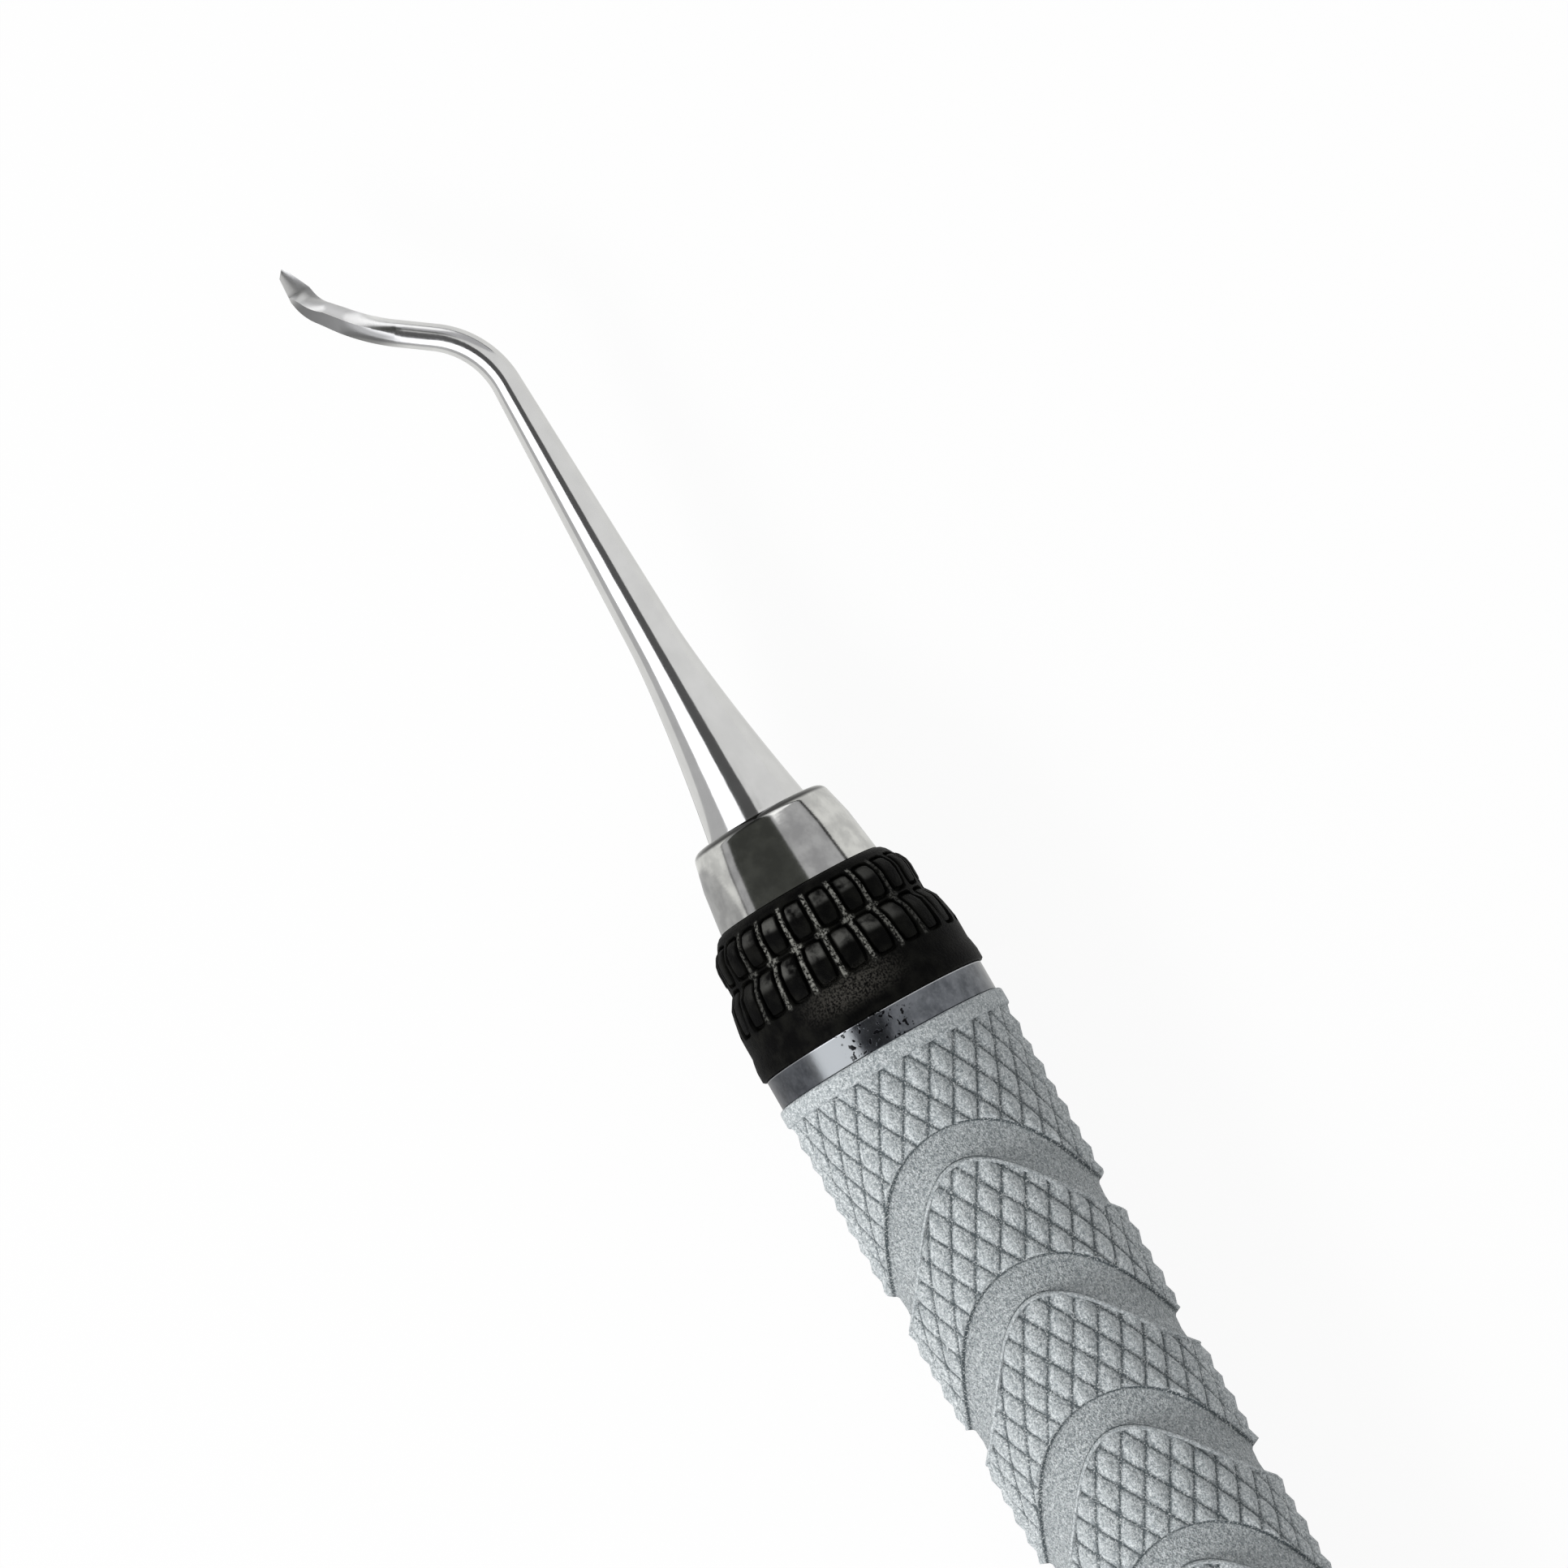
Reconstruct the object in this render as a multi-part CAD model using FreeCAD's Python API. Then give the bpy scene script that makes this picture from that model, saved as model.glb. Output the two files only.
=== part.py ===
import FreeCAD, Part
import math
import os

V = FreeCAD.Vector

# A single-ended dental scaler, lying on its handle, in millimetres. The origin is the centre of the
# flat butt face, +X runs along the handle to the working end, +Y is the side that the working end
# bends to, and +Z is up, the side that the blade's face looks to.

# Handle: a moulded grip with a diamond knurl, a smooth collar in front and a plain barrel behind
handle_length = 118.0
crest_radius = 4.75
valley_radius = 4.5
diamond_count = 26
diamond_pitch = 1.8
knurl_phase = 0.07
knurl_turn = 1.5
collar_radius = 4.8
collar_length = 0.72
collar_round = 0.15
barrel_radius = 4.8
butt_round = 0.8

# Wavy channels that cross the knurl, two lobes to a turn, with a plain rim behind each
channel_count = 8
channel_pitch = 5.77
channel_floor_width = 1.17
channel_floor_radius = 4.32
channel_front_run = 0.13
channel_rear_run = 0.17
channel_sweep = 4.37
channel_curl = 2.5
rim_radius = 4.66
rim_width = 0.08
first_channel = 4.42
last_land = 3.6

# Steel insert moulded into the grip's mouth, with a band that shows and a socket for the nose
band_radius = 4.62
band_length = 1.25
sleeve_radius = 3.7
sleeve_flat = 3.3
key_groove_depth = 0.35
key_groove_width = 1.2
socket_end_gap = 1.2
socket_end_wall = 1.05

# Turned nose cone: a tapered front, a seat for the ring and a spigot that screws into the insert
nose_front_radius = 2.85
nose_rear_radius = 3.37
nose_length = 3.18
nose_round = 0.35
seat_radius = 2.9
spigot_radius = 2.4
spigot_length = 8.0
spigot_chamfer = 0.4
relief_depth = 0.25
relief_width = 0.8
thread_clearance = 0.02
seat_hole_depth = 0.8

# Black elastomer ring between the nose and the insert, stepped, with two rows of finger pads
ring_length = 5.6
ring_front_radius = 3.4
ring_brow_radius = 3.66
ring_brow_start = 0.18
ring_slope_radius = 4.03
ring_slope_start = 0.73
ring_first_radius = 4.16
ring_first_start = 1.1
ring_step_start = 2.2
ring_step_radius = 4.43
ring_step_length = 0.37
ring_second_radius = 4.61
ring_second_start = 3.3
ring_rear_radius = 4.67
ring_rear_start = 3.67
ring_lip_radius = 4.77
ring_lip_flat = 0.46
ring_lip_length = 1.01
ring_clearance = 0.01
pad_count = 23
pad_turn = 8.1
pad_width = 0.72
pad_proud = 0.05
first_pads_start = 0.5
first_pads_length = 1.34
second_pads_start = 2.2
second_pads_length = 1.6

# Working end: tang, tapered round shank, a bend, a neck that bends back, and the ground blade
tang_radius = 1.25
tang_length = 9.5
tang_flat = 0.95
tang_clearance = 0.015
tang_end_gap = 1.0
shank_base_radius = 2.066
shank_end_radius = 0.58
shank_taper = 0.0376
shank_flare_length = 8.0
shank_straight = 19.0
bend_radius = 3.63
bend_angle = 54.0
bend_run = 1.45
neck_bend_radius = 8.0
neck_bend_angle = 15.0
neck_run = 0.83
neck_radius = 0.52
heel_bend_radius = 1.7
heel_bend_angle = 28.5
heel_run = 0.25
corner_run = 0.2
toe_run = 1.0
toe_bevel_angle = 39.0
toe_end_width = 0.1

# Ground form: widths and depths down the neck and blade, and the ridge between the face and the flank,
# which runs down the middle of the neck and out to the blade's edge at its heel
hollow_width = 0.98
hollow_depth = 0.94
waist_width = 0.894
waist_depth = 0.84
heel_width = 0.916
heel_depth = 0.78
corner_width = 0.82
corner_depth = 0.66
toe_width = 0.31
toe_depth = 0.26
ridge_offset = 0.015
ridge_height = 0.34
heel_ridge_offset = 0.225
heel_ridge_height = 0.17
corner_ridge_offset = 0.4
corner_ridge_height = 0.11
toe_ridge_offset = 0.15
toe_ridge_height = 0.07
face_edge_level = 0.07
flank_edge_level = -0.06
face_hollow = 0.04


# Where the pieces meet along the handle, each from the sizes above
band_front = handle_length + band_length
ring_front = band_front + ring_length
nose_front = ring_front + nose_length
knurl_front = handle_length - collar_length
last_channel = handle_length - first_channel - (channel_count - 1) * channel_pitch
knurl_end = last_channel - channel_sweep - channel_floor_width / 2 - channel_rear_run - rim_width - last_land
half_pitch = diamond_pitch / 2
row_margin = half_pitch / 8
same_row = half_pitch / 100
columns = 2 * diamond_count
socket_depth = spigot_length + socket_end_gap
sleeve_length = socket_depth + socket_end_wall - band_length
tang_hole_depth = tang_length + tang_end_gap
blade_heading = math.radians(bend_angle - neck_bend_angle - heel_bend_angle)
flank_points = 4
face_points = 6
under_points = 10
straight_stations = 12
match_gap = 0.001


def turned(outline):
    """A solid turned about the handle's axis from an outline of (x, radius) points."""
    points = [V(x, 0, radius) for x, radius in outline]
    section = Part.Face(Part.makePolygon(points + points[:1]))
    return section.revolve(V(0, 0, 0), V(1, 0, 0), 360)


def rod(start, end, radius):
    """A round bar on the handle's axis, from one place along it to another."""
    return Part.makeCylinder(radius, end - start, V(start, 0, 0), V(1, 0, 0))


def rim_edges(shape, x, radius):
    """The circular edges of a turned shape at a place along the axis and a radius."""
    found = []
    for edge in shape.Edges:
        curve = edge.Curve
        if not isinstance(curve, Part.Circle):
            continue
        if abs(curve.Radius - radius) < match_gap and abs(edge.BoundBox.XMin - x) < match_gap:
            found.append(edge)
    return found


def flatted(bar, start, end, flat, sides):
    """A bar with flats milled along it, the first facing down, at a height from the axis."""
    reach = 2 * crest_radius
    for side in range(sides):
        block = Part.makeBox(end - start, 2 * reach, reach, V(start, -reach, flat))
        block.rotate(V(0, 0, 0), V(1, 0, 0), 180 + 360 * side / sides)
        bar = bar.cut(block)
    return bar


# Handle

def wave(turn):
    """How far a channel runs back from its apex at an angle about the axis, from the top."""
    return channel_sweep * abs(math.sin(turn)) ** channel_curl


def slant(turn):
    """How much longer a channel's section is along the handle than square to the channel."""
    slope = channel_curl * channel_sweep * abs(math.sin(turn)) ** (channel_curl - 1) * math.cos(turn)
    return math.hypot(1, slope / crest_radius)


def knurl_radius(column, x):
    """Radius of the knurl along one column: crests and valleys follow each other by half a pitch."""
    along = (knurl_front - x) / half_pitch + knurl_phase + column
    return valley_radius + (crest_radius - valley_radius) * abs(along % 2 - 1)


def turn_of(column):
    """A column's angle about the axis, from the top towards +Y."""
    return 2 * math.pi * column / columns + math.radians(knurl_turn)


def land_nodes(column, first, rear):
    """Nodes (x, radius) of the knurl down one column, from a land's first node to its rear edge."""
    front = first[0]
    nodes = [first]
    row = math.ceil((knurl_front - front) / half_pitch + knurl_phase)
    while True:
        x = knurl_front - (row - knurl_phase) * half_pitch
        if x < rear + row_margin:
            break
        if x < front - row_margin:
            nodes.append((x, knurl_radius(column, x)))
        row += 1
    nodes.append((rear, knurl_radius(column, rear)))
    return nodes


def channel_nodes(column, index):
    """Nodes of a channel down one column: front edge, both sides of its floor, both of its rim."""
    turn = turn_of(column)
    centre = handle_length - first_channel - index * channel_pitch - wave(turn)
    stretch = slant(turn)
    half_floor = channel_floor_width / 2
    front = centre + stretch * (half_floor + channel_front_run)
    rim = centre - stretch * (half_floor + channel_rear_run)
    return [
        (front, knurl_radius(column, front)),
        (centre + stretch * half_floor, channel_floor_radius),
        (centre - stretch * half_floor, channel_floor_radius),
        (rim, rim_radius),
        (rim - stretch * rim_width, rim_radius),
    ]


def column_sections(column):
    """The knurled stretch down one column, as a list of lands with channels between them."""
    sections = []
    first = (knurl_front, knurl_radius(column, knurl_front))
    for index in range(channel_count):
        channel = channel_nodes(column, index)
        sections.append(land_nodes(column, first, channel[0][0]))
        sections.append(channel)
        first = channel[-1]
    sections.append(land_nodes(column, first, knurl_end))
    return sections


def place(column, node):
    """A node of a column as a point in space."""
    turn = turn_of(column)
    return V(node[0], node[1] * math.sin(turn), node[1] * math.cos(turn))


def web(column, left, right):
    """Triangles between two neighbouring columns of nodes, with straight edges down the grooves."""
    faces = []
    a = b = 0
    while a + 1 < len(left) or b + 1 < len(right):
        if b + 1 == len(right):
            step_left = True
        elif a + 1 == len(left):
            step_left = False
        elif abs(left[a][0] - right[b][0]) < same_row:
            step_left = left[a + 1][1] + right[b][1] < left[a][1] + right[b + 1][1]
        else:
            step_left = left[a][0] > right[b][0]
        corners = [place(column, left[a]), place(column + 1, right[b])]
        if step_left:
            a += 1
            corners.append(place(column, left[a]))
        else:
            b += 1
            corners.append(place(column + 1, right[b]))
        faces.append(Part.Face(Part.makePolygon(corners + corners[:1])))
    return faces


def knurled_stretch():
    """The knurled, channelled middle of the grip as one closed solid."""
    faces = []
    around = [column_sections(column) for column in range(columns)]
    for column in range(columns):
        neighbour = around[(column + 1) % columns]
        for left, right in zip(around[column], neighbour):
            faces += web(column, left, right)
    for section, node in ((0, 0), (-1, -1)):
        ring = [place(column, around[column][section][node]) for column in range(columns)]
        faces.append(Part.Face(Part.makePolygon(ring + ring[:1])))
    shell = Part.makeShell(faces)
    shell.sewShape()
    return Part.makeSolid(shell)


def insert_body():
    """The insert's outside: its sleeve with two flats and two key grooves, without its socket."""
    tail = handle_length - sleeve_length
    sleeve = flatted(rod(tail, handle_length, sleeve_radius), tail, handle_length, sleeve_flat, 2)
    for share in (1, 2):
        middle = tail + share * sleeve_length / 3
        start, end = middle - key_groove_width / 2, middle + key_groove_width / 2
        groove = rod(start, end, crest_radius).cut(rod(start, end, sleeve_flat - key_groove_depth))
        sleeve = sleeve.cut(groove)
    return sleeve


def grip_handle():
    """The grip, moulded round the insert's sleeve."""
    front_collar = rod(knurl_front, handle_length, collar_radius)
    front_collar = front_collar.makeFillet(collar_round, rim_edges(front_collar, handle_length, collar_radius))
    barrel = rod(0, knurl_end, barrel_radius)
    barrel = barrel.makeFillet(butt_round, rim_edges(barrel, 0, barrel_radius))
    return knurled_stretch().fuse([front_collar, barrel]).cut(insert_body())


# Insert and nose

def collar_insert():
    """The insert: a band the size of the handle, a sleeve held in the resin, a socket bored through."""
    band = rod(handle_length, band_front, band_radius)
    socket = rod(band_front - socket_depth, band_front, spigot_radius + thread_clearance)
    return band.fuse(insert_body()).cut(socket).removeSplitter()


def nose_cone():
    """The nose: front taper, seat for the ring, thread relief and spigot, bored for the tang."""
    tail = band_front - spigot_length
    body = turned([
        (tail, 0),
        (tail, spigot_radius - spigot_chamfer),
        (tail + spigot_chamfer, spigot_radius),
        (band_front - relief_width, spigot_radius),
        (band_front - relief_width, spigot_radius - relief_depth),
        (band_front, spigot_radius - relief_depth),
        (band_front, seat_radius),
        (ring_front, seat_radius),
        (ring_front, nose_rear_radius),
        (nose_front, nose_front_radius),
        (nose_front, 0),
    ])
    body = body.makeFillet(nose_round, rim_edges(body, nose_front, nose_front_radius))
    seat_hole = rod(nose_front - seat_hole_depth, nose_front, shank_base_radius + tang_clearance)
    tang_hole = rod(nose_front - tang_hole_depth, nose_front, tang_radius + tang_clearance)
    return body.cut(seat_hole.fuse(tang_hole))


# Ring

def ring_side():
    """The ring's outside as places (distance from its front, radius), from its front to its rear."""
    return [
        (0, ring_front_radius),
        (ring_brow_start, ring_brow_radius),
        (ring_slope_start, ring_slope_radius),
        (ring_first_start, ring_first_radius),
        (ring_step_start, ring_first_radius),
        (ring_step_start + ring_step_length, ring_step_radius),
        (ring_second_start, ring_second_radius),
        (ring_rear_start, ring_rear_radius),
        (ring_length - ring_lip_length, ring_rear_radius),
        (ring_length - ring_lip_flat, ring_lip_radius),
        (ring_length, ring_lip_radius),
    ]


def ring_radius(start):
    """Radius of the ring's outside at a distance from its front."""
    places = ring_side()
    for (before, low), (after, high) in zip(places, places[1:]):
        if before <= start <= after:
            return low + (high - low) * (start - before) / (after - before)
    return ring_lip_radius


def pad(start, length):
    """One finger pad: a block whose top follows the ring's side, a little proud of it."""
    rear = start + length
    tops = [place for place in ring_side() if start < place[0] < rear]
    tops = [(start, ring_radius(start))] + tops + [(rear, ring_radius(rear))]
    points = [V(ring_front - back, -pad_width / 2, radius + pad_proud) for back, radius in tops]
    points += [V(ring_front - back, -pad_width / 2, ring_front_radius) for back in (rear, start)]
    return Part.Face(Part.makePolygon(points + points[:1])).extrude(V(0, pad_width, 0))


def grip_ring():
    """The ring: its turned body, and two rows of pads that line up."""
    pads = []
    for master in (pad(first_pads_start, first_pads_length), pad(second_pads_start, second_pads_length)):
        for index in range(pad_count):
            copy = master.copy()
            copy.rotate(V(0, 0, 0), V(1, 0, 0), 360 * index / pad_count - pad_turn)
            pads.append(copy)
    bore = seat_radius + ring_clearance
    side = [(ring_front - back, radius) for back, radius in ring_side()]
    return turned([(ring_front, bore)] + side + [(band_front, bore)]).fuse(pads)


# Working end

def shank_radius(distance):
    """Shank radius at a distance from the nose: a slim cone that flares towards the nose."""
    cone = shank_end_radius + shank_taper * (shank_straight - distance)
    flare = shank_base_radius - shank_end_radius - shank_taper * shank_straight
    return cone + flare * max(0, 1 - distance / shank_flare_length) ** 1.5


def round_form(radius):
    """A round section, written as a ground form that isn't ground yet."""
    return (radius, radius, ridge_offset, ridge_height, face_edge_level, flank_edge_level, 0)


def ground_form(width, depth, offset, height):
    """A ground section: half width, half depth, ridge, levels of the two edges, and fully ground."""
    return (width / 2, depth / 2, offset, height, face_edge_level, flank_edge_level, 1)


def bent_stations():
    """Stations past the straight shank: (x, y, heading, form)."""
    waist = ground_form(waist_width, waist_depth, ridge_offset, ridge_height)
    heel = ground_form(heel_width, heel_depth, heel_ridge_offset, heel_ridge_height)
    heel_corner_offset = (heel_ridge_offset + corner_ridge_offset) / 2
    runs = [
        (bend_radius, bend_angle, 12, round_form(neck_radius)),
        (0, bend_run, 1, round_form(neck_radius)),
        (neck_bend_radius, -neck_bend_angle, 5, ground_form(hollow_width, hollow_depth, ridge_offset, ridge_height)),
        (0, neck_run, 1, waist),
        (heel_bend_radius, -heel_bend_angle, 6, heel),
        (0, heel_run, 1, ground_form(heel_width, heel_depth, heel_corner_offset, heel_ridge_height)),
        (0, corner_run, 1, ground_form(corner_width, corner_depth, corner_ridge_offset, corner_ridge_height)),
        (0, toe_run, 1, ground_form(toe_width, toe_depth, toe_ridge_offset, toe_ridge_height)),
    ]
    x, y, heading = nose_front + shank_straight, 0.0, 0.0
    form = round_form(shank_end_radius)
    stations = []
    for radius, amount, steps, goal in runs:
        start_form = form
        for step in range(1, steps + 1):
            turn = math.radians(amount) / steps if radius else 0
            chord = 2 * radius * math.sin(abs(turn) / 2) if radius else amount / steps
            x += chord * math.cos(heading + turn / 2)
            y += chord * math.sin(heading + turn / 2)
            heading += turn
            form = [old + (new - old) * step / steps for old, new in zip(start_form, goal)]
            stations.append((x, y, heading, form))
    return stations


def section_edges(form):
    """The flank, the face and the underside of a section, each as places (across, up)."""
    half_width, half_depth, offset, height, face_edge, flank_edge, ground = form
    flank, face, under = [], [], []
    for step in range(flank_points):
        share = step / (flank_points - 1)
        turn = math.pi / 2 * (1 - share)
        flat = (half_width + (offset - half_width) * share, flank_edge + (height - flank_edge) * share)
        flank.append(blended((half_width * math.sin(turn), half_depth * math.cos(turn)), flat, ground))
    for step in range(face_points):
        share = step / (face_points - 1)
        turn = math.pi / 2 * share
        dip = face_hollow * 4 * share * (1 - share)
        flat = (offset - (half_width + offset) * share, height + (face_edge - height) * share - dip)
        face.append(blended((-half_width * math.sin(turn), half_depth * math.cos(turn)), flat, ground))
    for step in range(under_points):
        share = step / (under_points - 1)
        turn = math.pi * share
        level = (face_edge + (flank_edge - face_edge) * share) * ground
        under.append((-half_width * math.cos(turn), level - half_depth * math.sin(turn)))
    return flank, face, under


def blended(whole, flat, ground):
    """A place between where the round bar has it and where the grinding leaves it."""
    return tuple(old + (new - old) * ground for old, new in zip(whole, flat))


def station_outline(x, y, heading, form):
    """A closed outline across the working end at a station, in three edges."""
    across = V(-math.sin(heading), math.cos(heading), 0)
    edges = []
    for places in section_edges(form):
        points = [V(x, y, up) + across * aside for aside, up in places]
        curve = Part.BSplineCurve()
        curve.interpolate(Points=points)
        edges.append(curve.toShape())
    return Part.Wire(edges)


def scaler_tip():
    """The working end, one piece of steel from its tang to the toe of the blade."""
    outlines = []
    for step in range(straight_stations):
        distance = shank_straight * step / straight_stations
        outlines.append(station_outline(nose_front + distance, 0, 0, round_form(shank_radius(distance))))
    outlines.append(station_outline(nose_front + shank_straight, 0, 0, round_form(shank_end_radius)))
    stations = bent_stations()
    outlines += [station_outline(*station) for station in stations]
    working_end = Part.makeLoft(outlines, True, True)
    toe_x, toe_y = stations[-1][:2]
    bevel = Part.makeBox(heel_width, heel_width, 2 * heel_depth, V(-heel_width, 0, -heel_depth))
    bevel.rotate(V(0, 0, 0), V(0, 0, 1), -toe_bevel_angle)
    bevel.translate(V(toe_x, toe_y - toe_width / 2 + toe_end_width, 0))
    tang_start, tang_end = nose_front - tang_length, nose_front - seat_hole_depth
    tang = flatted(rod(tang_start, tang_end, tang_radius), tang_start, tang_end, tang_flat, 1)
    seat = Part.Face(outlines[0]).extrude(V(-seat_hole_depth, 0, 0))
    return working_end.cut(bevel).fuse([seat, tang]).removeSplitter()


if __name__ == "__main__":
    os.makedirs("parts", exist_ok=True)
    nodes = {
        "grip_handle": grip_handle(),
        "collar_insert": collar_insert(),
        "nose_cone": nose_cone(),
        "grip_ring": grip_ring(),
        "scaler_tip": scaler_tip(),
    }
    for name, shape in nodes.items():
        print(name, shape.isValid(), len(shape.Solids), round(shape.Volume, 3), len(shape.Faces))
        shape.exportStep(f"parts/{name}.step")
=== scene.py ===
import math

import bpy
from mathutils import Matrix, Vector


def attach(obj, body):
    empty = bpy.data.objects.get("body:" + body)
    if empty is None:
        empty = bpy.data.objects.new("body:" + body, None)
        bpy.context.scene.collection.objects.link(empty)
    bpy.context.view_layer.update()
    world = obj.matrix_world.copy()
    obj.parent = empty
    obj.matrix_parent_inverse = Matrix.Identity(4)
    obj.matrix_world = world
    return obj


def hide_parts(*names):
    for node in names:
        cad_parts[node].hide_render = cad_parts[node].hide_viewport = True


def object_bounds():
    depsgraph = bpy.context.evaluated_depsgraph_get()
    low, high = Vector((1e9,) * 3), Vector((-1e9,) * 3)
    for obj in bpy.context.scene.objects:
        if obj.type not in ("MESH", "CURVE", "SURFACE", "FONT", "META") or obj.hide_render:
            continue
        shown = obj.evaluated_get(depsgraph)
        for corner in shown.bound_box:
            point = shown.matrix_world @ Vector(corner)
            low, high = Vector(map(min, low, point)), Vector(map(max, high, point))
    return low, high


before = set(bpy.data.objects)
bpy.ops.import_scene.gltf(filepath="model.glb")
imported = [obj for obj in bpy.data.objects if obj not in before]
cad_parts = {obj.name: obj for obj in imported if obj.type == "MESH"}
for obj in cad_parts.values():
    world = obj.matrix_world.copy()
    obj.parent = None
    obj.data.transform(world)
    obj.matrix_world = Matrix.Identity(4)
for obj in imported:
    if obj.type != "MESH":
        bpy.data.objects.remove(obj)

cad_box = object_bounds()

# Sizes are in millimetres, in the frame of the solids: the origin is the middle of the flat butt face,
# +X runs to the working end, +Y is the side it bends to and +Z is up. A finished piece is scaled to metres.
MM = 0.001

# Where the pieces meet along the handle
handle_length = 118.0
band_front = 119.25
ring_front = 124.85
nose_front = 128.03

# Knurled grip
crest_radius = 4.75
valley_radius = 4.5
diamond_count = 26
diamond_pitch = 1.8
knurl_phase = 0.07
knurl_turn = 1.5
tooth_fullness = 0.12
tooth_squareness = 6
rows_before = 2
rows_spare = 3
knurl_overlap = 0.3
collar_radius = 4.8
collar_length = 0.72
collar_round = 0.15
barrel_radius = 4.8
butt_round = 0.8
knurl_end = 64.385

# Wavy channels across the knurl
channel_count = 8
channel_pitch = 5.77
channel_floor_width = 1.17
channel_floor_radius = 4.32
channel_front_run = 0.13
channel_rear_run = 0.17
channel_sweep = 4.37
channel_curl = 2.0
channel_flare = 0.3
rim_radius = 4.66
rim_width = 0.08
first_channel = 4.42

# Steel insert
band_radius = 4.62
sleeve_radius = 3.7
sleeve_flat = 3.3
sleeve_length = 9.0
key_groove_depth = 0.35
key_groove_width = 1.2
socket_depth = 9.2
band_edge = 0.06

# Nose
nose_front_radius = 2.85
nose_rear_radius = 3.37
nose_round = 0.42
nose_swell_place = 0.55
nose_swell_share = 0.45
nose_steps = 256
nose_lean = math.tan(math.radians(10))
seat_radius = 2.9
spigot_radius = 2.4
spigot_length = 8.0
spigot_chamfer = 0.4
relief_depth = 0.25
relief_width = 0.8
seat_hole_depth = 0.8
fit_gap = 0.015

# Ring with its two rows of finger pads
ring_front_radius = 3.4
ring_first_radius = 4.16
ring_second_radius = 4.61
ring_rear_radius = 4.67
ring_lip_radius = 4.77
pad_count = 23
pad_turn = 8.1
pad_gap = 0.1
pad_depth = 0.22
pad_round = 0.18
moat_round = 0.26
first_pad_start = 0.5
first_pad_length = 1.34
first_pad_width = 0.68
second_pad_start = 2.2
second_pad_length = 1.6
second_pad_width = 0.74
second_pad_sink = 0.1

# Working end
tang_radius = 1.25
tang_length = 9.5
shank_base_radius = 2.066
shank_end_radius = 0.58
shank_taper = 0.0376
shank_flare_length = 8.0
shank_straight = 19.0
flare_growth = 1.5
bend_radius = 3.63
bend_angle = 54.0
bend_run = 1.45
neck_bend_radius = 8.0
neck_bend_angle = 15.0
neck_run = 0.83
neck_radius = 0.52
heel_bend_radius = 1.7
heel_bend_angle = 28.5
heel_run = 0.25
corner_run = 0.2
toe_run = 1.0
toe_bevel_angle = 39.0
toe_end_width = 0.1
satin_start = 150.8
satin_full = 152.2

# Ground form: widths and depths down the neck and blade, and the ridge between the face and the flank,
# which runs down the middle of the neck and out to the blade's edge at its heel
hollow_width = 0.98
hollow_depth = 0.94
waist_width = 0.894
waist_depth = 0.84
heel_width = 0.916
heel_depth = 0.78
corner_width = 0.82
corner_depth = 0.66
toe_width = 0.31
toe_depth = 0.26
ridge_offset = 0.015
ridge_height = 0.34
heel_ridge_offset = 0.225
heel_ridge_height = 0.17
corner_ridge_offset = 0.4
corner_ridge_height = 0.11
toe_ridge_offset = 0.15
toe_ridge_height = 0.07
face_edge_level = 0.07
flank_edge_level = -0.06
face_hollow = 0.04

# How finely round things are drawn
turned_steps = 192
flank_points = 20
face_points = 30
under_points = 40
straight_steps = 44
straight_growth = 1.3
bend_steps = 24
bend_run_steps = 5
neck_bend_steps = 36
neck_steps = 8
heel_bend_steps = 18
heel_steps = 3
toe_steps = 8
round_steps = 6
smooth_angle = math.radians(32)


# Modelling by hand

def rest():
    """Leaves edit mode with nothing selected."""
    if bpy.context.object and bpy.context.object.mode != "OBJECT":
        bpy.ops.object.mode_set(mode="OBJECT")
    bpy.ops.object.select_all(action="DESELECT")


def edit(piece, mode="VERT"):
    """Opens a piece in edit mode with nothing selected."""
    rest()
    bpy.context.view_layer.objects.active = piece
    piece.select_set(True)
    bpy.ops.object.mode_set(mode="EDIT")
    bpy.ops.mesh.select_mode(type=mode)
    bpy.ops.mesh.select_all(action="DESELECT")


def started(name):
    """Names the primitive that was just added."""
    piece = bpy.context.object
    piece.name = name
    return piece


def cleaned(piece, gap=1e-4):
    """Merges what lies together and turns the faces outwards."""
    edit(piece)
    bpy.ops.mesh.select_all(action="SELECT")
    bpy.ops.mesh.remove_doubles(threshold=gap)
    bpy.ops.mesh.normals_make_consistent(inside=False)
    rest()
    return piece


def apply_all(piece):
    """Applies a piece's modifiers in order."""
    rest()
    bpy.context.view_layer.objects.active = piece
    piece.select_set(True)
    for modifier in list(piece.modifiers):
        bpy.ops.object.modifier_apply(modifier=modifier.name)
    rest()
    return piece


def combine(piece, tool, operation):
    """Joins a tool's solid to a piece, or cuts it away, and removes the tool."""
    modifier = piece.modifiers.new(operation.lower(), "BOOLEAN")
    modifier.operation = operation
    modifier.solver = "MANIFOLD"
    modifier.object = tool
    apply_all(piece)
    bpy.data.objects.remove(tool)
    return piece


def copied(piece, matrix):
    """A copy with its own mesh, moved by a matrix."""
    twin = piece.copy()
    twin.data = piece.data.copy()
    twin.data.transform(matrix)
    bpy.context.collection.objects.link(twin)
    return twin


def joined(pieces):
    """Several pieces as one object."""
    rest()
    for piece in pieces:
        piece.select_set(True)
    bpy.context.view_layer.objects.active = pieces[0]
    bpy.ops.object.join()
    rest()
    return pieces[0]


def arc(centre, radius, start, end, steps=round_steps):
    """Places (x, radius) along an arc of a profile, from one angle in degrees to another."""
    places = []
    for step in range(steps + 1):
        angle = math.radians(start + (end - start) * step / steps)
        places.append((centre[0] + radius * math.cos(angle), centre[1] + radius * math.sin(angle)))
    return places


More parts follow.
